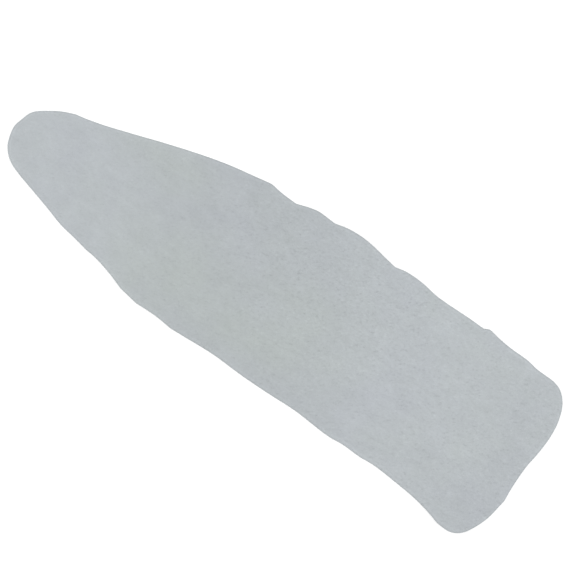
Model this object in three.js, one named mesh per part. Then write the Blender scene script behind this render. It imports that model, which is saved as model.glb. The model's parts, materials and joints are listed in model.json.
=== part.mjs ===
// Ironing board padding: a flat pad of needled felt, cut to the shape of an ironing board.
// Millimetres, +Z up. The nose points to -X, the square tail to +X, and +Y is the far side.
// The felt is two batts of fibre with a thin scrim between them. It lies flat, with slight waves in its edge.

import * as THREE from "three";

// Outline
const padLength = 1200; // nose tip to tail edge
const noseLength = 86; // nose tip to the shoulders of the nose
const taperLength = 400; // shoulders to the straight sides
const tailLength = 94; // start of the tail corners to the tail edge
const noseWidth = 168; // across the shoulders
const bodyWidth = 340; // across the straight sides, where the taper ends
const tailWidth = 350; // across the pad, where the tail corners begin

// Thickness
const faceWebThickness = 2.1;
const scrimThickness = 0.3;
const backWebThickness = 2.1;
const plyGap = 0.3; // between the scrim and each batt

// Cut edge
const rimWidth = 5; // the strip that the cut pressed down
const rimDrop = 0.8; // how much thinner each batt is at the cut
const scrimSetback = 1; // the scrim ends this far inside the cut

// Waves of the edge
const waveHeight = 5; // lift of the tallest wave
const waveLength = 190; // length of the longest wave along the edge

// Fineness of the mesh
const longestStep = 34; // between two points of the edge
const cutTolerance = 0.4; // between the curve of the edge and its straight steps
const lookShares = [0.25, 0.5, 0.75]; // where along a step its distance from the curve is looked at

// Shares of the way from the edge to the pad's middle line
const waveReachShare = 0.42; // where a wave dies out
const waveRingShare = 0.2; // a ring of points on the slope of the waves
const coreRingShare = 0.5; // the rim of the flat core

// The cut edge, anticlockwise, as [station, across share]. Each row runs smoothly from the end of the row
// before it to a slight kink at its own last point. Stations 0 to 4 are the nose tip, the shoulders, the end of
// the taper, the start of the tail corners and the tail edge. An across share is of half the nominal width there.
const cutEdgeShares = [
  [
    [0.7, 0.855], [0.465, 0.715], [0.235, 0.55], [0.115, 0.405], [0.048, 0.18], [0, -0.035], [0.06, -0.335],
    [0.175, -0.57], [0.405, -0.785], [0.7, -0.914], [1.035, -1.016], [1.16, -1.05], [1.26, -1.08],
    [1.35, -1.064], [1.44, -1.055],
  ],
  [[1.48, -1.04], [1.535, -1.035], [1.61, -1.048], [1.684, -1.074]],
  [[1.791, -1.057]],
  [[1.84, -1.025], [1.885, -1], [1.92, -0.985], [1.995, -0.967]],
  [
    [2.06, -0.953], [2.15, -0.937], [2.265, -0.952], [2.36, -0.951], [2.46, -0.942], [2.585, -0.969],
    [2.64, -0.955], [2.7, -0.962], [2.75, -0.951], [2.83, -0.97], [2.91, -1], [2.97, -1.046], [3.01, -1.08],
  ],
  [
    [3.15, -1.088], [3.31, -1.087], [3.435, -1.063], [3.57, -1.003], [3.695, -0.894], [3.811, -0.744],
    [3.907, -0.49],
  ],
  [
    [3.895, -0.285], [3.918, -0.03], [3.957, 0.1], [3.986, 0.23], [4, 0.37], [3.975, 0.545], [3.881, 0.715],
    [3.759, 0.812], [3.637, 0.866], [3.48, 0.897], [3.255, 0.908], [3.055, 0.914], [2.97, 0.941],
    [2.91, 0.952], [2.86, 0.973], [2.821, 1.002],
  ],
  [[2.804, 0.973]],
  [[2.75, 0.985], [2.67, 0.99], [2.625, 1], [2.57, 1.033], [2.51, 1.041], [2.47, 1.019]],
  [[2.425, 1.052], [2.375, 1.086], [2.33, 1.102], [2.28, 1.097], [2.237, 1.069]],
  [[2.21, 1.076], [2.175, 1.082], [2.145, 1.065], [2.1, 1.021]],
  [[2.045, 1.036], [2.001, 1.062]],
  [
    [1.91, 1.074], [1.785, 1.1], [1.66, 1.105], [1.485, 1.084], [1.285, 1.03], [1.16, 0.99], [1.075, 0.975],
    [1, 0.981],
  ],
];

// Waves of the edge: [station, across share, share of the wave height, share of the wave length]
const waveShares = [
  [2.175, 1.1, 0.7, 0.5],
  [2.33, 1.13, 1, 0.75],
  [2.53, 1.06, 0.6, 0.65],
  [2.84, 1.02, 0.5, 0.5],
  [1.93, 1.09, 0.35, 0.7],
  [1.42, -1.08, 0.4, 1],
  [1.85, -1.04, 0.35, 0.6],
  [2.36, -0.96, 0.3, 1],
  [3.2, -1.1, 0.8, 0.8],
  [3.7, 0.85, 0.45, 0.7],
  [0.75, 0.95, 0.35, 0.7],
];

const bodyLength = padLength - noseLength - taperLength - tailLength;
const zoneLengths = [noseLength, taperLength, bodyLength, tailLength];
const stationWidths = [noseWidth, noseWidth, bodyWidth, tailWidth, tailWidth];

// Distance from the nose tip, and half the nominal width, at a station
function atStation(station) {
  const zone = Math.min(Math.floor(station), zoneLengths.length - 1);
  const share = station - zone;
  const before = zoneLengths.slice(0, zone).reduce((sum, length) => sum + length, 0);
  const width = THREE.MathUtils.lerp(stationWidths[zone], stationWidths[zone + 1], share);
  return { fromNose: before + share * zoneLengths[zone], halfWidth: width / 2 };
}

function placeAt(station, acrossShare) {
  const { fromNose, halfWidth } = atStation(station);
  return new THREE.Vector3(fromNose - padLength / 2, acrossShare * halfWidth, 0);
}

// Smooth stretches of the cut edge, each from one kink to the next
function edgeStretches() {
  const rows = cutEdgeShares.map((row) => row.map(([station, acrossShare]) => placeAt(station, acrossShare)));
  return rows.map((points, i) => {
    const kinkBefore = rows.at(i - 1).at(-1);
    return new THREE.CatmullRomCurve3([kinkBefore, ...points], false, "centripetal");
  });
}

// Points between two places of a curve, closer together where it bends
function stepsBetween(curve, from, to) {
  const start = curve.getPoint(from);
  const end = curve.getPoint(to);
  const chord = new THREE.Line3(start, end);
  const bulge = Math.max(...lookShares.map((share) => {
    const point = curve.getPoint(THREE.MathUtils.lerp(from, to, share));
    return chord.closestPointToPoint(point, true, new THREE.Vector3()).distanceTo(point);
  }));
  if (chord.distance() <= longestStep && bulge <= cutTolerance) return [start];
  const middle = (from + to) / 2;
  return [...stepsBetween(curve, from, middle), ...stepsBetween(curve, middle, to)];
}

// The whole cut edge as a closed row of points, each step taken between two points of the outline
function cutEdge() {
  return edgeStretches().flatMap((curve) => {
    const pieces = curve.points.length - 1;
    return curve.points.slice(1).flatMap((_, i) => stepsBetween(curve, i / pieces, (i + 1) / pieces));
  });
}

const waves = waveShares.map(([station, acrossShare, heightShare, lengthShare]) => ({
  centre: placeAt(station, acrossShare),
  height: heightShare * waveHeight,
  halfLength: (lengthShare * waveLength) / 2,
  reach: waveReachShare * atStation(station).halfWidth,
}));

// Height of the pad's underside over the surface that it lies on
function lift(point) {
  return waves.reduce((sum, { centre, height, halfLength, reach }) => {
    const along = (point.x - centre.x) / halfLength;
    const inward = (point.y - centre.y) / reach;
    return sum + height * Math.max(0, 1 - along ** 2 - inward ** 2) ** 2;
  }, 0);
}

// The nearest point of the middle line, which runs from the shoulders of the nose to the tail corners
function middleFrom(point) {
  const first = noseLength - padLength / 2;
  const last = padLength / 2 - tailLength;
  return new THREE.Vector3(THREE.MathUtils.clamp(point.x, first, last), 0, 0);
}

// Rings of points from the cut edge, less the setback, to the rim of the flat core
function plyRings(edge, setback) {
  const insets = [() => setback, () => rimWidth, (way) => way * waveRingShare, (way) => way * coreRingShare];
  return insets.map((inset) => edge.map((point) => {
    const middle = middleFrom(point);
    const inward = middle.clone().sub(point);
    return point.clone().addScaledVector(inward.clone().normalize(), inset(inward.length()));
  }));
}

// A closed ply between two heights, with its lower or upper face drawn in at the cut
function plyGeometry({ edge, bottom, top, lowerDrop = 0, upperDrop = 0, setback = 0 }) {
  const rings = plyRings(edge, setback);
  const count = edge.length;
  const places = [];
  const faces = [];
  for (const [height, drop] of [[bottom, lowerDrop], [top, -upperDrop]]) {
    rings.forEach((ring, r) => ring.forEach((point) => {
      places.push(point.x, point.y, height + lift(point) + (r === 0 ? drop : 0));
    }));
  }
  const core = THREE.ShapeUtils.triangulateShape(rings.at(-1).map(({ x, y }) => new THREE.Vector2(x, y)), []);
  const topStart = rings.length * count;
  const coreStart = topStart - count;
  const quad = (a, b, c, d) => faces.push(a, b, c, a, c, d);
  for (let i = 0; i < count; i++) {
    const next = (i + 1) % count;
    quad(i, next, topStart + next, topStart + i);
    for (let r = 0; r < rings.length - 1; r++) {
      const [outer, inner] = [r * count, (r + 1) * count];
      quad(outer + i, inner + i, inner + next, outer + next);
      quad(topStart + outer + i, topStart + outer + next, topStart + inner + next, topStart + inner + i);
    }
  }
  for (const [a, b, c] of core) {
    faces.push(coreStart + a, coreStart + c, coreStart + b);
    faces.push(topStart + coreStart + a, topStart + coreStart + b, topStart + coreStart + c);
  }
  const geometry = new THREE.BufferGeometry();
  geometry.setAttribute("position", new THREE.Float32BufferAttribute(places, 3));
  geometry.setIndex(faces);
  geometry.computeVertexNormals();
  return geometry;
}

const felt = { color: 0xb8bdbf, roughness: 0.95, metalness: 0 };

function backWeb(edge) {
  const geometry = plyGeometry({ edge, bottom: 0, top: backWebThickness, lowerDrop: rimDrop });
  return new THREE.Mesh(geometry, new THREE.MeshStandardMaterial(felt));
}

function reinforcingScrim(edge) {
  const bottom = backWebThickness + plyGap;
  const geometry = plyGeometry({ edge, bottom, top: bottom + scrimThickness, setback: scrimSetback });
  const material = new THREE.MeshStandardMaterial({ color: 0xd6d8d6, roughness: 0.9, metalness: 0 });
  return new THREE.Mesh(geometry, material);
}

function faceWeb(edge) {
  const bottom = backWebThickness + plyGap + scrimThickness + plyGap;
  const geometry = plyGeometry({ edge, bottom, top: bottom + faceWebThickness, upperDrop: rimDrop });
  return new THREE.Mesh(geometry, new THREE.MeshStandardMaterial(felt));
}

const edge = cutEdge();
const outlineCentre = new THREE.Box3().setFromPoints(edge).getCenter(new THREE.Vector3());
const plies = { back_web: backWeb(edge), reinforcing_scrim: reinforcingScrim(edge), face_web: faceWeb(edge) };

const pad = new THREE.Group();
for (const [name, ply] of Object.entries(plies)) {
  ply.name = name;
  pad.add(ply);
}
pad.position.copy(outlineCentre).negate();

export default pad;
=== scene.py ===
import bpy, bmesh, json, math, random
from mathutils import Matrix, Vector, noise
from mathutils.bvhtree import BVHTree
from mathutils.kdtree import KDTree


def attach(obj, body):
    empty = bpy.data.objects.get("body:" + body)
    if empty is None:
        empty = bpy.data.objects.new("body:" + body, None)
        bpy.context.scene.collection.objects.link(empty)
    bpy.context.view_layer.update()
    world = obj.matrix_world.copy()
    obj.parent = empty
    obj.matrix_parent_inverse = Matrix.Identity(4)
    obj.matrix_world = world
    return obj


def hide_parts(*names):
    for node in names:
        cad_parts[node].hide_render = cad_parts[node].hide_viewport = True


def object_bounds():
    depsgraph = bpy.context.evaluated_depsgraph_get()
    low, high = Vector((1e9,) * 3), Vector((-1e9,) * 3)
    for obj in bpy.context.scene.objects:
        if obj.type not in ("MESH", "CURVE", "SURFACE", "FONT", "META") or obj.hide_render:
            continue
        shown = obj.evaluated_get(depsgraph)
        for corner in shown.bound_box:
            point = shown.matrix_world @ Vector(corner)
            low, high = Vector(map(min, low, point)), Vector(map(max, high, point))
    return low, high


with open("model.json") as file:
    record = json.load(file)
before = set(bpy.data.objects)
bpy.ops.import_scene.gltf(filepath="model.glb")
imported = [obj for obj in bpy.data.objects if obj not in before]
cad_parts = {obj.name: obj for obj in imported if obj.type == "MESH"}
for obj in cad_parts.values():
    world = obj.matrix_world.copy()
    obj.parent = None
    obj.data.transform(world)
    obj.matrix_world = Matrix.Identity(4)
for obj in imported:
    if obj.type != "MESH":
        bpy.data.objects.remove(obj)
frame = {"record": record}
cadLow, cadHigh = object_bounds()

# Ironing board padding: a flat pad of needled felt, lying on a pale floor.
# Metres, +Z up. The nose points to -X and the far side to +Y.
random.seed(41)

# the cut edge: zone lengths from the nose tip, and the nominal widths where the zones meet
outline = {
    "length": 1.2,
    "noseLength": 0.086,
    "taperLength": 0.400,
    "tailLength": 0.094,
    "noseWidth": 0.168,
    "bodyWidth": 0.340,
    "tailWidth": 0.350,
    # [station, across share] round the cut; each row runs smoothly to a slight kink at its last point
    "rowShares": [
        [[0.7, 0.855], [0.465, 0.715], [0.235, 0.55], [0.115, 0.405], [0.048, 0.18], [0, -0.035],
         [0.06, -0.335], [0.175, -0.57], [0.405, -0.785], [0.7, -0.914], [1.035, -1.016], [1.16, -1.05],
         [1.26, -1.08], [1.35, -1.064], [1.44, -1.055]],
        [[1.48, -1.04], [1.535, -1.035], [1.61, -1.048], [1.684, -1.074]],
        [[1.791, -1.057]],
        [[1.84, -1.025], [1.885, -1], [1.92, -0.985], [1.995, -0.967]],
        [[2.06, -0.953], [2.15, -0.937], [2.265, -0.952], [2.36, -0.951], [2.46, -0.942], [2.585, -0.969],
         [2.64, -0.955], [2.7, -0.962], [2.75, -0.951], [2.83, -0.97], [2.91, -1], [2.97, -1.046],
         [3.01, -1.08]],
        [[3.15, -1.088], [3.31, -1.087], [3.435, -1.063], [3.57, -1.003], [3.695, -0.894], [3.811, -0.744],
         [3.907, -0.49]],
        [[3.895, -0.285], [3.918, -0.03], [3.957, 0.1], [3.986, 0.23], [4, 0.37], [3.975, 0.545],
         [3.881, 0.715], [3.759, 0.812], [3.637, 0.866], [3.48, 0.897], [3.255, 0.908], [3.055, 0.914],
         [2.97, 0.941], [2.91, 0.952], [2.86, 0.973], [2.821, 1.002]],
        [[2.804, 0.973]],
        [[2.75, 0.985], [2.67, 0.99], [2.625, 1], [2.57, 1.033], [2.51, 1.041], [2.47, 1.019]],
        [[2.425, 1.052], [2.375, 1.086], [2.33, 1.102], [2.28, 1.097], [2.237, 1.069]],
        [[2.21, 1.076], [2.175, 1.082], [2.145, 1.065], [2.1, 1.021]],
        [[2.045, 1.036], [2.001, 1.062]],
        [[1.91, 1.074], [1.785, 1.1], [1.66, 1.105], [1.485, 1.084], [1.285, 1.03], [1.16, 0.99],
         [1.075, 0.975], [1, 0.981]],
    ],
    "curveParts": 20,       # short straight parts of the curve between two of these points
}
bodyLength = outline["length"] - outline["noseLength"] - outline["taperLength"] - outline["tailLength"]
zoneLengths = [outline["noseLength"], outline["taperLength"], bodyLength, outline["tailLength"]]
stationWidths = [outline["noseWidth"], outline["noseWidth"], outline["bodyWidth"],
                 outline["tailWidth"], outline["tailWidth"]]


def zoneOf(station):
    # the zone that a station lies in, and how far into it
    zone = min(int(station), len(zoneLengths) - 1)
    return zone, station - zone


def halfWidthAt(station):
    zone, share = zoneOf(station)
    return (stationWidths[zone] * (1 - share) + stationWidths[zone + 1] * share) / 2


def placeAt(station, acrossShare):
    zone, share = zoneOf(station)
    fromNose = sum(zoneLengths[:zone]) + share * zoneLengths[zone]
    return Vector((fromNose - outline["length"] / 2, acrossShare * halfWidthAt(station)))


def smoothPoint(before, start, end, after, share):
    # a point of the centripetal curve from start to end
    gaps = ((before, start), (start, end), (end, after))
    first, second, third = [(b - a).length ** 0.5 for a, b in gaps]
    leave = ((start - before) / first - (end - before) / (first + second) + (end - start) / second) * second
    arrive = ((end - start) / second - (after - start) / (second + third) + (after - end) / third) * second
    square, cube = share ** 2, share ** 3
    return ((2 * cube - 3 * square + 1) * start + (cube - 2 * square + share) * leave
            + (3 * square - 2 * cube) * end + (cube - square) * arrive)


def cutEdge(step):
    # points round the cut, about a step apart, with every kink kept
    rows = [[placeAt(*pair) for pair in row] for row in outline["rowShares"]]
    parts = outline["curveParts"]
    edge = []
    for i, row in enumerate(rows):
        knots = [rows[i - 1][-1]] + row
        knots = [2 * knots[0] - knots[1]] + knots + [2 * knots[-1] - knots[-2]]
        fine = [smoothPoint(*knots[k:k + 4], part / parts) for k in range(len(row)) for part in range(parts)]
        fine.append(row[-1])
        lengths = [0]
        for here, following in zip(fine, fine[1:]):
            lengths.append(lengths[-1] + (following - here).length)
        count = max(1, round(lengths[-1] / step))
        at = 0
        for k in range(count):
            reached = lengths[-1] * k / count
            while lengths[at + 1] < reached:
                at += 1
            share = (reached - lengths[at]) / (lengths[at + 1] - lengths[at])
            edge.append(fine[at].lerp(fine[at + 1], share))
    return edge


def middleFrom(point):
    # the nearest point of the pad's middle line
    first = outline["noseLength"] - outline["length"] / 2
    last = outline["length"] / 2 - outline["tailLength"]
    return Vector((min(max(point.x, first), last), 0))


# how the felt lies: waves along its edge, slow slack in the middle, and the soft creases of its packing
lie = {
    "waveHeight": 0.005,
    "waveLength": 0.190,
    "waveReachShare": 0.42,
    # [station, across share, share of the wave height, share of the wave length]
    "waveShares": [[2.175, 1.1, 0.7, 0.5], [2.33, 1.13, 1, 0.75], [2.53, 1.06, 0.6, 0.65],
                   [2.84, 1.02, 0.5, 0.5], [1.93, 1.09, 0.35, 0.7], [1.42, -1.08, 0.4, 1],
                   [1.85, -1.04, 0.35, 0.6], [2.36, -0.96, 0.3, 1], [3.2, -1.1, 0.8, 0.8],
                   [3.7, 0.85, 0.45, 0.7], [0.75, 0.95, 0.35, 0.7]],
    "slack": 0.0012,
    "slackLength": 0.22,
    "slackSeed": 3.7,
    "slackBase": 0.15,      # added to the slack's noise, of which only what is over 0 lifts the felt
    # [x, y, turn in degrees, half length, half width, height]
    "creases": [[0.312, 0.140, 78, 0.034, 0.011, 0.0016], [0.448, 0.132, 60, 0.030, 0.014, 0.0010],
                [-0.560, 0.018, 4, 0.050, 0.009, 0.0007], [0.552, -0.150, 40, 0.030, 0.020, 0.0012],
                [0.555, 0.050, 70, 0.030, 0.018, 0.0007], [-0.180, 0.022, 2, 0.085, 0.012, -0.0005]],
    "creaseReach": 2.5,     # in half lengths and half widths, where a crease ends
}
waves = [(placeAt(station, across), height * lie["waveHeight"], length * lie["waveLength"] / 2,
          lie["waveReachShare"] * halfWidthAt(station))
         for station, across, height, length in lie["waveShares"]]


def waveLift(point):
    # the waves that the felt took on in its packing
    up = 0
    for centre, height, halfLength, reach in waves:
        near = 1 - ((point.x - centre.x) / halfLength) ** 2 - ((point.y - centre.y) / reach) ** 2
        if near > 0:
            up += height * near ** 2
    return up


def slackLift(point):
    size = lie["slackLength"]
    slow = noise.noise(Vector((point.x / size, point.y / size, lie["slackSeed"])))
    return lie["slack"] * max(0, slow + lie["slackBase"])


def creaseLift(point, up):
    # what the creases add to felt that lies at a height; one that sinks stops at the floor
    for x, y, turn, halfLength, halfWidth, height in lie["creases"]:
        cosine, sine = math.cos(math.radians(turn)), math.sin(math.radians(turn))
        along = ((point.x - x) * cosine + (point.y - y) * sine) / halfLength
        across = ((point.y - y) * cosine - (point.x - x) * sine) / halfWidth
        if max(abs(along), abs(across)) < lie["creaseReach"]:
            up += max(height, -up) * math.exp(-along * along - across * across)
    return up


# the felt as a stiff cloth, held where it lies on the floor, whose waves sink as its weight bends them
settle = {
    "step": 0.015,
    "spareSquares": 4,      # along and across, past the nominal outline
    "rise": 1.15,           # height of the waves before they sink, as a share of the heights above
    "heldBelow": 0.0003,    # where the waves start lower than this, the felt lies on the floor
    "frames": 18,
    "quality": 10,
    "pointMass": 0.05,
    "bendStiffness": 500,
    "stretchStiffness": 80,
    "weightShare": 0.025,   # the solver's cloth is limper than felt, so it carries less than its weight
    "smoothing": 2,
    "probeHeight": 0.1,     # a ray starts at this height to find a surface below it
}


def feltLayer():
    # a grid of squares, trimmed a little outside the cut
    step = settle["step"]
    edge = cutEdge(step / 2)
    nearest = KDTree(len(edge))
    for i, point in enumerate(edge):
        nearest.insert((*point, 0), i)
    nearest.balance()
    sizes = (outline["length"], outline["tailWidth"])
    columns, rows = [math.ceil(size / step) + settle["spareSquares"] for size in sizes]
    bm = bmesh.new()
    bmesh.ops.create_grid(bm, x_segments=columns, y_segments=rows, size=0.5)
    bmesh.ops.scale(bm, vec=(columns * step, rows * step, 1), verts=bm.verts)
    outside = []
    for vert in bm.verts:
        place = vert.co.xy
        _, i, distance = nearest.find(vert.co)
        if distance > step and (place - middleFrom(place)).length > (edge[i] - middleFrom(edge[i])).length:
            outside.append(vert)
        vert.co.z = settle["rise"] * waveLift(place)
    bmesh.ops.delete(bm, geom=outside, context="VERTS")
    mesh = bpy.data.meshes.new("layer")
    bm.to_mesh(mesh)
    bm.free()
    layer = bpy.data.objects.new("layer", mesh)
    bpy.context.collection.objects.link(layer)
    held = layer.vertex_groups.new(name="held")
    held.add([vert.index for vert in mesh.vertices if vert.co.z < settle["heldBelow"]], 1, "REPLACE")
    return layer


def settledLayer():
    layer = feltLayer()
    cloth = layer.modifiers.new("settle", "CLOTH")
    cloth.point_cache.frame_end = settle["frames"]
    cloth.collision_settings.use_collision = False
    wear = cloth.settings
    wear.vertex_group_mass = "held"
    wear.quality = settle["quality"]
    wear.mass = settle["pointMass"]
    wear.bending_model = "LINEAR"
    wear.bending_stiffness = settle["bendStiffness"]
    wear.tension_stiffness = wear.compression_stiffness = wear.shear_stiffness = settle["stretchStiffness"]
    wear.effector_weights.gravity = settle["weightShare"]
    smoother = layer.modifiers.new("smooth", "SUBSURF")
    smoother.levels = smoother.render_levels = settle["smoothing"]
    for k in range(1, settle["frames"] + 1):
        bpy.context.scene.frame_set(k)
    surface = BVHTree.FromObject(layer, bpy.context.evaluated_depsgraph_get())
    bpy.data.objects.remove(layer)
    bpy.context.scene.frame_set(1)
    return surface


def surfaceUnder(surface, point):
    # the place of a surface below a point, or None past its rim
    return surface.ray_cast(Vector((*point, settle["probeHeight"])), Vector((0, 0, -1)))[0]


settled = settledLayer()
print("stage: settled felt")


def settledLift(point):
    if settled is None:
        return waveLift(point)
    hit = surfaceUnder(settled, point)
    return max(0, hit.z) if hit else 0


def lift(point):
    # height of the pad's underside over the floor
    return creaseLift(point, settledLift(point) + slackLift(point))


plies = {
    "webThickness": 0.0021,
    "scrimThickness": 0.0003,
    "plyGap": 0.0003,
    "meetGap": 0.00004,     # between the webs where they close over the scrim
    "rimDrop": 0.0008,
    "rimWidth": 0.005,
    "scrimSetback": 0.001,
    "partingShare": 0.96,   # of that setback, where the webs part to go round the scrim
    "middleShare": 0.985,   # the last ring of points, as a share of the way to the middle line
    # fineness along the cut, and rings of points from the pressed rim to the middle
    "faceStep": 0.0026, "faceRings": 58,
    "backStep": 0.0046, "backRings": 34, "scrimRings": 20,
    # rings of points up the cut's wall, over the pressed rim, and on a web's inner face
    "wallShares": [0, 0.35, 0.7, 1],
    "rimDepths": [0.0004, 0.001, 0.002, 0.0034, 0.0052],
    "innerShares": [0, 0.04, 0.2, 0.5, 1],
    # unevenness of a felt face, from clumps, tufts and grain: [length, width, shift of the seed, share]
    "relief": 0.00009,
    "reliefNoises": [[0.016, 0.010, 0, 1.3], [0.0062, 0.0045, 9, 1], [0.0034, 0.0028, 21, 0.7]],
    "faceSeed": 1.5, "backSeed": 7.5,
    # unevenness of the cut's wall, and the size of its grain along the wall and up it
    "cutRoughness": 0.00016,
    "cutGrain": 0.0035, "cutGrainHeight": 0.0012, "cutSeed": 5,
}
scrimBottom = plies["webThickness"] + plies["plyGap"]
scrimTop = scrimBottom + plies["scrimThickness"]
faceBottom = scrimTop + plies["plyGap"]
faceTop = faceBottom + plies["webThickness"]
meetHeight = (plies["webThickness"] + faceBottom) / 2


def rimShare(depth):
    # 1 at the cut, easing to 0 where the pressed rim ends
    share = max(0, 1 - depth / plies["rimWidth"])
    return 1 - math.sqrt(1 - share ** 2)


def feltRelief(point, seed):
    # a little drawn out along the pad
    uneven = 0
    for length, width, shift, share in plies["reliefNoises"]:
        uneven += share * noise.noise(Vector((point.x / length, point.y / width, seed + shift)))
    return plies["relief"] * uneven


def ringIn(edge, depth, share=0):
    # points a depth inside the cut, and then a share of the way on to the middle
    ring = []
    for point in edge:
        way = middleFrom(point) - point
        reach = depth + share * (plies["middleShare"] * way.length - depth)
        ring.append((point + way.normalized() * reach, reach))
    return ring


def wallRing(edge, height):
    # a ring of the cut's wall, a little rough
    grain = plies["cutGrain"]
    up = height / plies["cutGrainHeight"] + plies["cutSeed"]
    ring = []
    for point in edge:
        out = (point - middleFrom(point)).normalized()
        rough = noise.noise(Vector((point.x / grain, point.y / grain, up)))
        ring.append((point + out * plies["cutRoughness"] * rough, 0))
    return ring


def ringEdges(bm, ring):
    return [bm.edges.get((ring[i - 1], ring[i])) for i in range(len(ring))]


def growRing(bm, ring, places):
    # the next ring of the surface, drawn out of the last one
    order = {vert: i for i, vert in enumerate(ring)}
    made = bmesh.ops.extrude_edge_only(bm, edges=ringEdges(bm, ring))
    grown = list(ring)
    for vert in made["geom"]:
        if isinstance(vert, bmesh.types.BMVert):
            neighbours = [edge.other_vert(vert) for edge in vert.link_edges]
            i = next(order[neighbour] for neighbour in neighbours if neighbour in order)
            grown[i] = vert
            vert.co = places[i]
    return grown


def closeMiddle(bm, ring):
    # the narrow strip along the middle line is filled flat, and then gets its heights back
    heights = [vert.co.z for vert in ring]
    for vert in ring:
        vert.co.z = 0
    loop = ringEdges(bm, ring)
    bmesh.ops.triangle_fill(bm, edges=loop, use_beauty=True, use_dissolve=False, normal=(0, 0, 1))
    for vert, height in zip(ring, heights):
        vert.co.z = height


def level(height):
    # the same height over the lie all along a ring
    return lambda point, depth: height


def placesOf(ring, heightAt):
    return [Vector((point.x, point.y, lift(point) + heightAt(point, depth))) for point, depth in ring]


def plyMesh(outerSide, innerSide):
    # each side is a list of (ring, heightAt) from the cut to the middle; the inner one starts on the outer
    # one's first ring, and heightAt(point, depth) is a height over the lie
    bm = bmesh.new()
    depthLayer = bm.verts.layers.float.new("cutDepth")
    ring, heightAt = outerSide[0]
    first = bmesh.ops.create_circle(bm, segments=len(ring), radius=1)["verts"]
    for vert, place in zip(first, placesOf(ring, heightAt)):
        vert.co = place
    for side in (outerSide[1:], innerSide):
        verts = first
        for ring, heightAt in side:
            verts = growRing(bm, verts, placesOf(ring, heightAt))
            for vert, (_, depth) in zip(verts, ring):
                vert[depthLayer] = depth
        closeMiddle(bm, verts)
    bmesh.ops.recalc_face_normals(bm, faces=bm.faces)
    return bm


def finishPiece(bm, name, material):
    bmesh.ops.translate(bm, verts=bm.verts, vec=-outlineCentre)
    mesh = bpy.data.meshes.new(name)
    bm.to_mesh(mesh)
    bm.free()
    mesh.shade_smooth()
    mesh.materials.append(material)
    piece = bpy.data.objects.new(name, mesh)
    bpy.context.collection.objects.link(piece)
    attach(piece, "root")
    return piece


fineEdge = cutEdge(plies["faceStep"])
coarseEdge = cutEdge(plies["backStep"])
middles = [(min(point[k] for point in fineEdge) + max(point[k] for point in fineEdge)) / 2 for k in (0, 1)]
outlineCentre = Vector((*middles, 0))
print("stage: outline,", len(fineEdge), "points")


def addNode(tree, kind, inputs=None, **settings):
    made = tree.nodes.new("ShaderNode" + kind)
    for name, value in settings.items():
        setattr(made, name, value)
    for name, value in (inputs or {}).items():
        if isinstance(value, bpy.types.NodeSocket):
            tree.links.new(value, made.inputs[name])
        else:
            made.inputs[name].default_value = value
    return made


def worked(tree, operation, *values):
    return addNode(tree, "Math", dict(enumerate(values)), operation=operation).outputs[0]


def ranged(tree, value, start=0, end=1, low=0, high=1):
    # low to high as the value goes from start to end
    return addNode(tree, "MapRange", {
        "Value": value, "From Min": start, "From Max": end, "To Min": low, "To Max": high}).outputs[0]


def mixed(tree, share, first, second):
    # sockets 0, 6 and 7 are the share and the two colours, and output 2 is their mix
    return addNode(tree, "Mix", {0: share, 6: first, 7: second}, data_type="RGBA").outputs[2]


def toned(tree, colour, tone):
    return addNode(tree, "VectorMath", {0: colour, "Scale": tone}, operation="SCALE").outputs[0]


def newMaterial(name):
    material = bpy.data.materials.new(name)
    material.use_nodes = True
    tree = material.node_tree
    tree.nodes.clear()
    return material, tree


def unevenness(tree, coords, size, stretch=1, turn=0, detail=2, roughness=0.5):
    # noise with features of that size, drawn out along X before it is turned
    turned = addNode(tree, "Mapping", {"Vector": coords, "Rotation": (0, 0, math.radians(-turn))})
    drawn = addNode(tree, "Mapping", {"Vector": turned.outputs[0], "Scale": (1 / stretch, 1, 1)})
    made = addNode(tree, "TexNoise", {
        "Vector": drawn.outputs[0], "Scale": 1 / size, "Detail": detail, "Roughness": roughness})
    return made.outputs["Fac"]


def weighted(tree, parts, start):
    # start plus the sum of amount times (part less a half)
    total = start - sum(amount for _, amount in parts) / 2
    for part, amount in parts:
        total = worked(tree, "MULTIPLY_ADD", part, amount, total)
    return total


def patchAt(tree, coords, x, y, halfLength, halfWidth):
    # 1 in the middle of the patch, fading to 0 at its rim
    placed = {"Vector": coords, "Location": (x, y, 0), "Scale": (halfLength, halfWidth, 1)}
    centred = addNode(tree, "Mapping", placed, vector_type="TEXTURE").outputs[0]
    return addNode(tree, "TexGradient", {"Vector": centred}, gradient_type="SPHERICAL").outputs["Fac"]


def patched(tree, coords, patches, start):
    # start plus what each patch adds in its middle, the last value of its row
    total = start
    for *patch, amount in patches:
        total = worked(tree, "MULTIPLY_ADD", patchAt(tree, coords, *patch), amount, total)
    return total


def toneAlong(tree, place, tones):
    # the tone at a place, eased between the places of the table
    first, last = tones[0][0], tones[-1][0]
    darkest, lightest = [pick(tone for _, tone in tones) for pick in (min, max)]
    ramp = addNode(tree, "ValToRGB", {"Fac": ranged(tree, place, first, last)})
    stops = ramp.color_ramp.elements
    ramp.color_ramp.interpolation = "EASE"
    for where, _ in tones[1:-1]:
        stops.new((where - first) / (last - first))
    for stop, (_, tone) in zip(stops, tones):
        grey = (tone - darkest) / (lightest - darkest)
        stop.color = (grey, grey, grey, 1)
    return ranged(tree, ramp.outputs["Color"], low=darkest, high=lightest)


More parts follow.
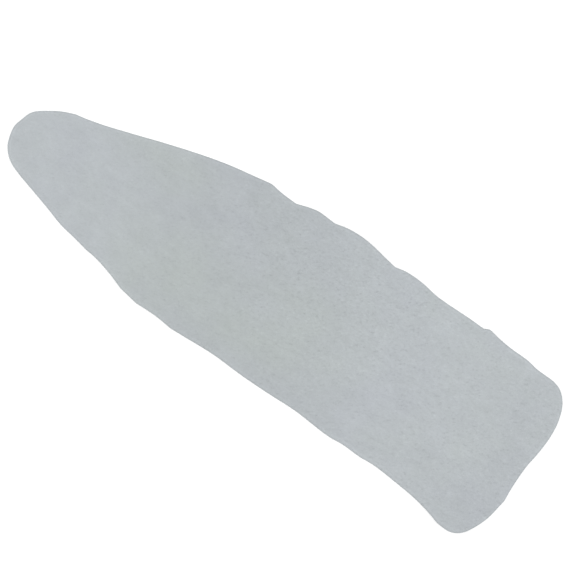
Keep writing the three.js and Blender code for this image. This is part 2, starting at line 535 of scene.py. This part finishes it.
felt = {
    "cloudSize": 0.070, "cloudTone": 0.09,
    "streakSize": 0.008, "streakStretch": 9, "streakTone": 0.055,
    "clumpSize": 0.013, "clumpStretch": 2.2, "clumpTone": 0.105,
    "mottleSize": 0.0038, "mottleStretch": 1.5, "mottleDetail": 3, "mottleTone": 0.165,
    "fibreWidth": 0.00035, "fibreStretch": 9, "fibreTurns": [8, 64, -41], "fibreTone": 0.16,
    # flecks of clotted fibre: [where its noise starts to show, where it shows in full, tone added there]
    "fleckSize": 0.0036, "fleckStretch": 2, "fleckTurn": 34,
    "darkFlecks": [0.57, 0.86, -0.165], "lightFlecks": [0.4, 0.14, 0.11],
    # strength of the fine texture at the nose and at the tail, and a roughened patch, written as below
    "openness": [0.6, 1.16],
    "openPatch": [0.11, 0.12, 0.36, 0.24, 0.45],
    # painted light and shade at depths inside the cut: a lighter wall, a darker line just inside it and a
    # lighter band a few millimetres in
    "paintedCutLightAndShade": [[0, 1.06], [0.0006, 0.97], [0.0016, 0.97], [0.0028, 1], [0.0043, 1.045], [0.0057, 1.035],
                 [0.008, 1]],
    # painted light and shade along the pad, lighter towards the nose and the tail and darker in the middle:
    # [place along it, tone], slanting across it
    "paintedLightAlongPad": [[-0.6, 1.039], [-0.4, 1.024], [-0.17, 0.975], [0.04, 0.977], [0.27, 1.027], [0.44, 1.035],
                   [0.56, 1.013], [0.64, 1.015]],
    "paintedLightSlant": 0.5,
    # patches of painted light and shade, lighter and darker, where the felt's creases, slopes and curled
    # tail corner lie: [x, y, half length, half width, tone that the middle adds]
    "paintedShadeAndLightPatches": [[0.565, -0.17, 0.13, 0.10, -0.068], [0.44, -0.11, 0.13, 0.05, -0.024],
                    [0.57, -0.03, 0.05, 0.07, -0.028], [0.32, 0.15, 0.035, 0.08, 0.045],
                    [0.50, 0.13, 0.05, 0.07, 0.038], [-0.28, 0.135, 0.055, 0.05, 0.052],
                    [-0.10, -0.07, 0.15, 0.05, 0.016], [0.14, 0.10, 0.045, 0.03, -0.022],
                    [0.22, -0.145, 0.09, 0.05, -0.024], [0.45, 0.15, 0.03, 0.05, 0.03]],
    # what red, green and blue gain in the warmest felt and lose in the coolest, as shares
    "hueShift": [0, 0.028, -0.056],
    # how cool the felt is, 0 to 1, how much its noise changes that, and what warmer patches take off it
    "coolness": 0.545,
    "hueSize": 0.2, "hueDetail": 6, "hueRoughness": 0.7, "hueNoise": 0.6,
    "warmPatches": [[-0.17, -0.07, 0.17, 0.14], [0.09, -0.04, 0.18, 0.12], [0.01, -0.10, 0.15, 0.07],
                    [-0.31, 0.11, 0.17, 0.07]],
    "warmth": 0.23,
    "needlePitch": 0.0021, "needleScatter": 0.55,
    "fibreBump": 0.5, "mottleBump": 0.8, "needleBump": 0.35,
    "bumpHeight": 0.0004,
    "roughness": 0.95,
    "specular": 0.2,
    "sheen": 0.15, "sheenRoughness": 0.5,
}


def feltOpenness(tree, coords, along):
    # the face is smoother towards the nose, and roughest in a patch on the far side
    half = outline["length"] / 2
    openness = ranged(tree, along, -half, half, *felt["openness"])
    return patched(tree, coords, [felt["openPatch"]], openness)


def feltTone(tree, coords, fibres, mottle):
    # broad tones, a finer texture where the face is more open, painted light and shade at the cut's edge,
    # and painted light and shade along the pad, lighter at the ends and darker in the middle
    axes = addNode(tree, "SeparateXYZ", {"Vector": coords}).outputs
    broad = weighted(tree, [
        (unevenness(tree, coords, felt["cloudSize"]), felt["cloudTone"]),
        (unevenness(tree, coords, felt["streakSize"], felt["streakStretch"]), felt["streakTone"]),
        (unevenness(tree, coords, felt["clumpSize"], felt["clumpStretch"]), felt["clumpTone"]),
    ], 1)
    # patches of painted light and shade over the broad tones
    broad = patched(tree, coords, felt["paintedShadeAndLightPatches"], broad)
    fine = weighted(tree, [(mottle, felt["mottleTone"])]
                    + [(fibre, felt["fibreTone"]) for fibre in fibres], 0)
    clots = unevenness(tree, coords, felt["fleckSize"], felt["fleckStretch"], felt["fleckTurn"])
    for start, full, amount in (felt["darkFlecks"], felt["lightFlecks"]):
        fine = worked(tree, "ADD", fine, ranged(tree, clots, start, full, high=amount))
    tone = worked(tree, "MULTIPLY_ADD", fine, feltOpenness(tree, coords, axes["X"]), broad)
    depth = addNode(tree, "Attribute", attribute_name="cutDepth").outputs["Fac"]
    slanted = worked(tree, "MULTIPLY_ADD", axes["Y"], felt["paintedLightSlant"], axes["X"])
    # each table multiplies in painted light and shade: at the cut's edge by depth, and along the pad by the
    # slanted place
    for place, tones in ((depth, felt["paintedCutLightAndShade"]), (slanted, felt["paintedLightAlongPad"])):
        tone = worked(tree, "MULTIPLY", tone, toneAlong(tree, place, tones))
    return tone


def feltHue(tree, coords, colour):
    # the felt's colour, from its warmest to its coolest
    shifts = list(zip(colour, felt["hueShift"]))
    warm = [*(part * (1 + shift) for part, shift in shifts), 1]
    cool = [*(part * (1 - shift) for part, shift in shifts), 1]
    drift = unevenness(tree, coords, felt["hueSize"],
                       detail=felt["hueDetail"], roughness=felt["hueRoughness"])
    coolness = weighted(tree, [(drift, felt["hueNoise"])], felt["coolness"])
    warmer = [[*patch, -felt["warmth"]] for patch in felt["warmPatches"]]
    return mixed(tree, patched(tree, coords, warmer, coolness), warm, cool)


def feltMaterial(name, colour):
    material, tree = newMaterial(name)
    coords = addNode(tree, "TexCoord").outputs["Object"]
    fibres = [unevenness(tree, coords, felt["fibreWidth"], felt["fibreStretch"], turn)
              for turn in felt["fibreTurns"]]
    mottle = unevenness(tree, coords, felt["mottleSize"], felt["mottleStretch"], detail=felt["mottleDetail"])
    needles = addNode(tree, "TexVoronoi", {
        "Vector": coords, "Scale": 1 / felt["needlePitch"], "Randomness": felt["needleScatter"]})
    colour = toned(tree, feltHue(tree, coords, colour), feltTone(tree, coords, fibres, mottle))
    height = weighted(tree, [(mottle, felt["mottleBump"]), (needles.outputs["Distance"], felt["needleBump"])]
                      + [(fibre, felt["fibreBump"]) for fibre in fibres], 0)
    bump = addNode(tree, "Bump", {"Height": height, "Distance": felt["bumpHeight"]})
    shader = addNode(tree, "BsdfPrincipled", {
        "Base Color": colour, "Normal": bump.outputs[0], "Roughness": felt["roughness"],
        "Specular IOR Level": felt["specular"],
        "Sheen Weight": felt["sheen"], "Sheen Roughness": felt["sheenRoughness"]})
    addNode(tree, "OutputMaterial", {"Surface": shader.outputs[0]})
    return material


scrim = {
    "colour": (0.66, 0.67, 0.66),
    "pitch": 0.0011,
    "tone": 0.95, "threadTone": 0.3,
    "mottleSize": 0.004, "mottleTone": 0.1,
    "threadBump": 0.0002,
    "roughness": 0.9,
}


def scrimMaterial():
    # a plain weave of thin flat threads
    material, tree = newMaterial("scrim weave")
    coords = addNode(tree, "TexCoord").outputs["Object"]
    threads = []
    for direction in ("X", "Y"):
        wave = addNode(tree, "TexWave", {"Vector": coords, "Scale": 1 / scrim["pitch"] / math.pi},
                       wave_type="BANDS", bands_direction=direction, wave_profile="SIN")
        threads.append(wave.outputs["Fac"])
    weave = worked(tree, "MAXIMUM", *threads)
    mottle = unevenness(tree, coords, scrim["mottleSize"])
    tone = weighted(tree, [(weave, scrim["threadTone"]), (mottle, scrim["mottleTone"])], scrim["tone"])
    bump = addNode(tree, "Bump", {"Height": weave, "Distance": scrim["threadBump"]})
    shader = addNode(tree, "BsdfPrincipled", {
        "Base Color": toned(tree, scrim["colour"], tone), "Normal": bump.outputs[0],
        "Roughness": scrim["roughness"]})
    addNode(tree, "OutputMaterial", {"Surface": shader.outputs[0]})
    return material


slotColours = {material["slot"]: material["base_color"] for material in frame["record"]["materials"]}
faceFelt = feltMaterial("face felt", slotColours["face_felt"])
backFelt = feltMaterial("back felt", slotColours["back_felt"])
scrimWeave = scrimMaterial()
print("stage: materials")


def outerRings(edge, rings, bottom, top, seed):
    # from the webs' meeting line up or down the cut's wall, over the pressed rim and on to the middle
    drop = plies["rimDrop"] if top > bottom else -plies["rimDrop"]

    def pressed(point, depth):
        return top - drop * rimShare(depth) + feltRelief(point, seed)

    side = []
    for share in plies["wallShares"]:
        height = bottom + (top - drop - bottom) * share
        side.append((wallRing(edge, height), level(height)))
    side += [(ringIn(edge, depth), pressed) for depth in plies["rimDepths"]]
    side += [(ringIn(edge, plies["rimDepths"][-1], k / rings), pressed) for k in range(1, rings + 1)]
    return side


def innerRings(edge, height):
    inset = plies["scrimSetback"] * plies["partingShare"]
    return [(ringIn(edge, inset, share), level(height)) for share in plies["innerShares"]]


def makeFace():
    bottom = meetHeight + plies["meetGap"] / 2
    outer = outerRings(fineEdge, plies["faceRings"], bottom, faceTop, plies["faceSeed"])
    inner = innerRings(fineEdge, faceBottom)
    return finishPiece(plyMesh(outer, inner), "felt_face", faceFelt)


def makeBack():
    top = meetHeight - plies["meetGap"] / 2
    outer = outerRings(coarseEdge, plies["backRings"], top, 0, plies["backSeed"])
    inner = innerRings(coarseEdge, plies["webThickness"])
    return finishPiece(plyMesh(outer, inner), "felt_back", backFelt)


def makeScrim():
    rings = plies["scrimRings"]
    rows = [ringIn(coarseEdge, plies["scrimSetback"], k / rings) for k in range(rings + 1)]
    outer = [(rows[0], level(scrimBottom))] + [(ring, level(scrimTop)) for ring in rows]
    inner = [(ring, level(scrimBottom)) for ring in rows[1:]]
    return finishPiece(plyMesh(outer, inner), "scrim_net", scrimWeave)


feltFace = makeFace()
feltBack = makeBack()
scrimNet = makeScrim()
print("stage: plies", [len(piece.data.polygons) for piece in (feltFace, feltBack, scrimNet)])

fuzz = {
    "taper": 0.6,           # what a fibre loses of its thickness towards its end
    # fibre ends that stand out of the cut's wall
    "cutCount": 2400,
    "cutRadius": 0.000035,
    "cutShortest": 0.0004, "cutLongest": 0.005,
    "cutLength": 0.0016,    # mean of what a fibre is longer than the shortest one
    "cutRoot": 0.0003,      # how deep inside the wall they start
    "cutRise": 0.0002,      # how far the band where they start is raised over the wall's own height
    "cutSpread": 0.9, "cutTilt": 0.35, "cutBend": 0.25,
    "cutPoints": 5,
    "floorGap": 0.00005,
    # single fibres that lie on the face
    "looseCount": 1500,
    "looseRadius": 0.00004,
    "looseLength": 0.009, "looseLengthShares": [0.4, 1.4],
    "looseTurn": 0.35,
    "loosePoints": 7,
    "faceGap": 0.00003,
    # cut ends of the scrim's threads
    "threadPitch": 0.006,
    "threadRadius": 0.00011,
    "threadRootShare": 1.4, # how deep inside the cut they start, in setbacks of the scrim
    "threadPast": 0.0005,   # how far past the cut the longest ones reach
}


def tubePiece(name, lines, radius, material):
    # thin closed tubes that taper along their lines
    curve = bpy.data.curves.new(name, "CURVE")
    curve.dimensions = "3D"
    curve.bevel_depth = radius
    curve.bevel_resolution = 0
    curve.use_fill_caps = True
    for line in lines:
        spline = curve.splines.new("POLY")
        spline.points.add(len(line) - 1)
        for i, place in enumerate(line):
            spline.points[i].co = (*place, 1)
            spline.points[i].radius = 1 - fuzz["taper"] * i / (len(line) - 1)
    guide = bpy.data.objects.new(name + "_guide", curve)
    bpy.context.collection.objects.link(guide)
    mesh = bpy.data.meshes.new_from_object(guide.evaluated_get(bpy.context.evaluated_depsgraph_get()))
    bpy.data.objects.remove(guide)
    bm = bmesh.new()
    bm.from_mesh(mesh)
    return finishPiece(bm, name, material)


def cutFibres():
    # short fibre ends that stand out of the cut's wall
    low, high = [height + fuzz["cutRise"] for height in (plies["rimDrop"], faceTop - plies["rimDrop"])]
    lines = []
    for _ in range(fuzz["cutCount"]):
        i = random.randrange(len(fineEdge))
        start = fineEdge[i - 1].lerp(fineEdge[i], random.random())
        out = (start - middleFrom(start)).normalized()
        along = Vector((-out.y, out.x))
        spread = out + along * random.gauss(0, fuzz["cutSpread"])
        heading = Vector((*spread, random.gauss(0, fuzz["cutTilt"]))).normalized()
        bend = Vector([random.gauss(0, fuzz["cutBend"]) for _ in range(3)])
        length = min(fuzz["cutLongest"], random.expovariate(1 / fuzz["cutLength"]) + fuzz["cutShortest"])
        root = Vector((*(start - out * fuzz["cutRoot"]), lift(start) + random.uniform(low, high)))
        line = []
        for k in range(fuzz["cutPoints"]):
            share = k / (fuzz["cutPoints"] - 1)
            place = root + (heading * share + bend * share * share) * length
            place.z = max(place.z, fuzz["floorGap"])
            line.append(place)
        lines.append(line)
    return tubePiece("cut_fibres", lines, fuzz["cutRadius"], faceFelt)


def looseFibres(surface):
    # single fibres that lie on the face
    tree = BVHTree.FromObject(surface, bpy.context.evaluated_depsgraph_get())
    count = fuzz["loosePoints"]
    up = Vector((0, 0, fuzz["faceGap"]))
    lines = []
    while len(lines) < fuzz["looseCount"]:
        place = Vector((random.uniform(cadLow.x, cadHigh.x), random.uniform(cadLow.y, cadHigh.y)))
        heading = random.uniform(0, 2 * math.pi)
        turn = random.gauss(0, fuzz["looseTurn"])
        step = fuzz["looseLength"] * random.uniform(*fuzz["looseLengthShares"]) / (count - 1)
        line = []
        for _ in range(count):
            hit = surfaceUnder(tree, place)
            if hit is None:
                break
            line.append(hit + up + outlineCentre)
            heading += turn
            place = place + Vector((math.cos(heading), math.sin(heading))) * step
        if len(line) == count:
            lines.append(line)
    return tubePiece("loose_fibres", lines, fuzz["looseRadius"], faceFelt)


def threadEnds():
    # cut ends of the scrim's threads, level with the cut or a little past it
    lines = []
    for point in cutEdge(fuzz["threadPitch"]):
        out = (point - middleFrom(point)).normalized()
        inside = point - out * plies["scrimSetback"] * fuzz["threadRootShare"]
        outside = point + out * random.uniform(0, fuzz["threadPast"])
        height = lift(point) + meetHeight
        middle = inside.lerp(outside, 0.5)
        lines.append([Vector((*place, height)) for place in (inside, middle, outside)])
    return tubePiece("scrim_thread_ends", lines, fuzz["threadRadius"], scrimWeave)


cutFuzz = cutFibres()
looseFuzz = looseFibres(feltFace)
scrimEnds = threadEnds()
print("stage: fibres", [len(piece.data.polygons) for piece in (cutFuzz, looseFuzz, scrimEnds)])

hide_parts("face_web")
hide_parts("back_web")
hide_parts("reinforcing_scrim")

studio = {
    "floorRadius": 30,
    "floorSides": 64,
    "floorDrop": 0.0003,
    "floorColour": (0.55, 0.55, 0.55, 1),
    # the floor's glow at the pad and past a radius from it, only in what the camera sees: it reads white
    "floorGlows": [0.58, 0.80], "nearRadius": 3,
    "white": (1, 1, 1, 1),
    "ambient": 0.58,
    "ambientColour": (0.991, 1, 1.009, 1),
    "lampDistance": 4.0,
    "lampHeight": 4.7,
    "lampSize": 2.6,
    # [side, turn in degrees, power]
    "lamps": {"left_softbox": [-1, 16, 113.3], "right_softbox": [1, 8, 114.1]},
}


def seenDirectly(tree):
    # 1 for what the camera sees, also in gloss and through something clear
    path = addNode(tree, "LightPath").outputs
    seen = worked(tree, "MAXIMUM", path["Is Camera Ray"], path["Is Glossy Ray"])
    return worked(tree, "MAXIMUM", seen, path["Is Transmission Ray"])


def makeFloor():
    bm = bmesh.new()
    bmesh.ops.create_circle(bm, cap_ends=True, segments=studio["floorSides"], radius=studio["floorRadius"])
    bmesh.ops.translate(bm, verts=bm.verts, vec=(0, 0, -studio["floorDrop"]))
    mesh = bpy.data.meshes.new("floor")
    bm.to_mesh(mesh)
    bm.free()
    material, tree = newMaterial("floor paint")
    coords = addNode(tree, "TexCoord").outputs["Object"]
    away = addNode(tree, "VectorMath", {0: coords}, operation="LENGTH").outputs["Value"]
    near, far = studio["floorGlows"]
    evened = ranged(tree, away, end=studio["nearRadius"], low=near, high=far)
    shader = addNode(tree, "BsdfPrincipled", {
        "Base Color": studio["floorColour"], "Roughness": 1, "Specular IOR Level": 0,
        "Emission Color": studio["white"],
        "Emission Strength": worked(tree, "MULTIPLY", seenDirectly(tree), evened)})
    addNode(tree, "OutputMaterial", {"Surface": shader.outputs[0]})
    mesh.materials.append(material)
    floor = bpy.data.objects.new("floor", mesh)
    bpy.context.collection.objects.link(floor)


def makeWorld():
    world = bpy.data.worlds.new("studio")
    bpy.context.scene.world = world
    world.use_nodes = True
    tree = world.node_tree
    tree.nodes.clear()
    seen = seenDirectly(tree)
    sky = addNode(tree, "Background", {
        "Color": mixed(tree, seen, studio["ambientColour"], studio["white"]),
        "Strength": ranged(tree, seen, low=studio["ambient"])})
    addNode(tree, "OutputWorld", {"Surface": sky.outputs[0]})


def makeLamps():
    # soft lamps beside the pad that look at its middle
    for name, (side, turn, power) in studio["lamps"].items():
        light = bpy.data.lights.new(name, "AREA")
        light.shape = "SQUARE"
        light.size = studio["lampSize"]
        light.energy = power
        reach = side * studio["lampDistance"]
        turn = math.radians(turn)
        place = Vector((reach * math.cos(turn), reach * math.sin(turn), studio["lampHeight"]))
        lamp = bpy.data.objects.new(name, light)
        lamp.location = place
        lamp.rotation_euler = place.to_track_quat("Z", "Y").to_euler()
        bpy.context.collection.objects.link(lamp)


view = {
    "turn": 33.8,
    "elevation": 80,
    "aim": (0.0282, 0.0273, 0.0045),
    "distance": 2.6228,
    "lens": 85,
    "sensorWidth": 36,
}


def makeCamera():
    camera = bpy.data.objects.new("camera", bpy.data.cameras.new("camera"))
    camera.data.lens = view["lens"]
    camera.data.sensor_width = view["sensorWidth"]
    camera.rotation_euler = (math.radians(90 - view["elevation"]), 0, math.radians(view["turn"]))
    back = camera.rotation_euler.to_matrix() @ Vector((0, 0, 1))
    camera.location = Vector(view["aim"]) + back * view["distance"]
    bpy.context.collection.objects.link(camera)
    bpy.context.scene.camera = camera


makeFloor()
makeWorld()
makeLamps()
makeCamera()
bpy.context.scene.view_settings.view_transform = "Standard"
print("stage: studio")
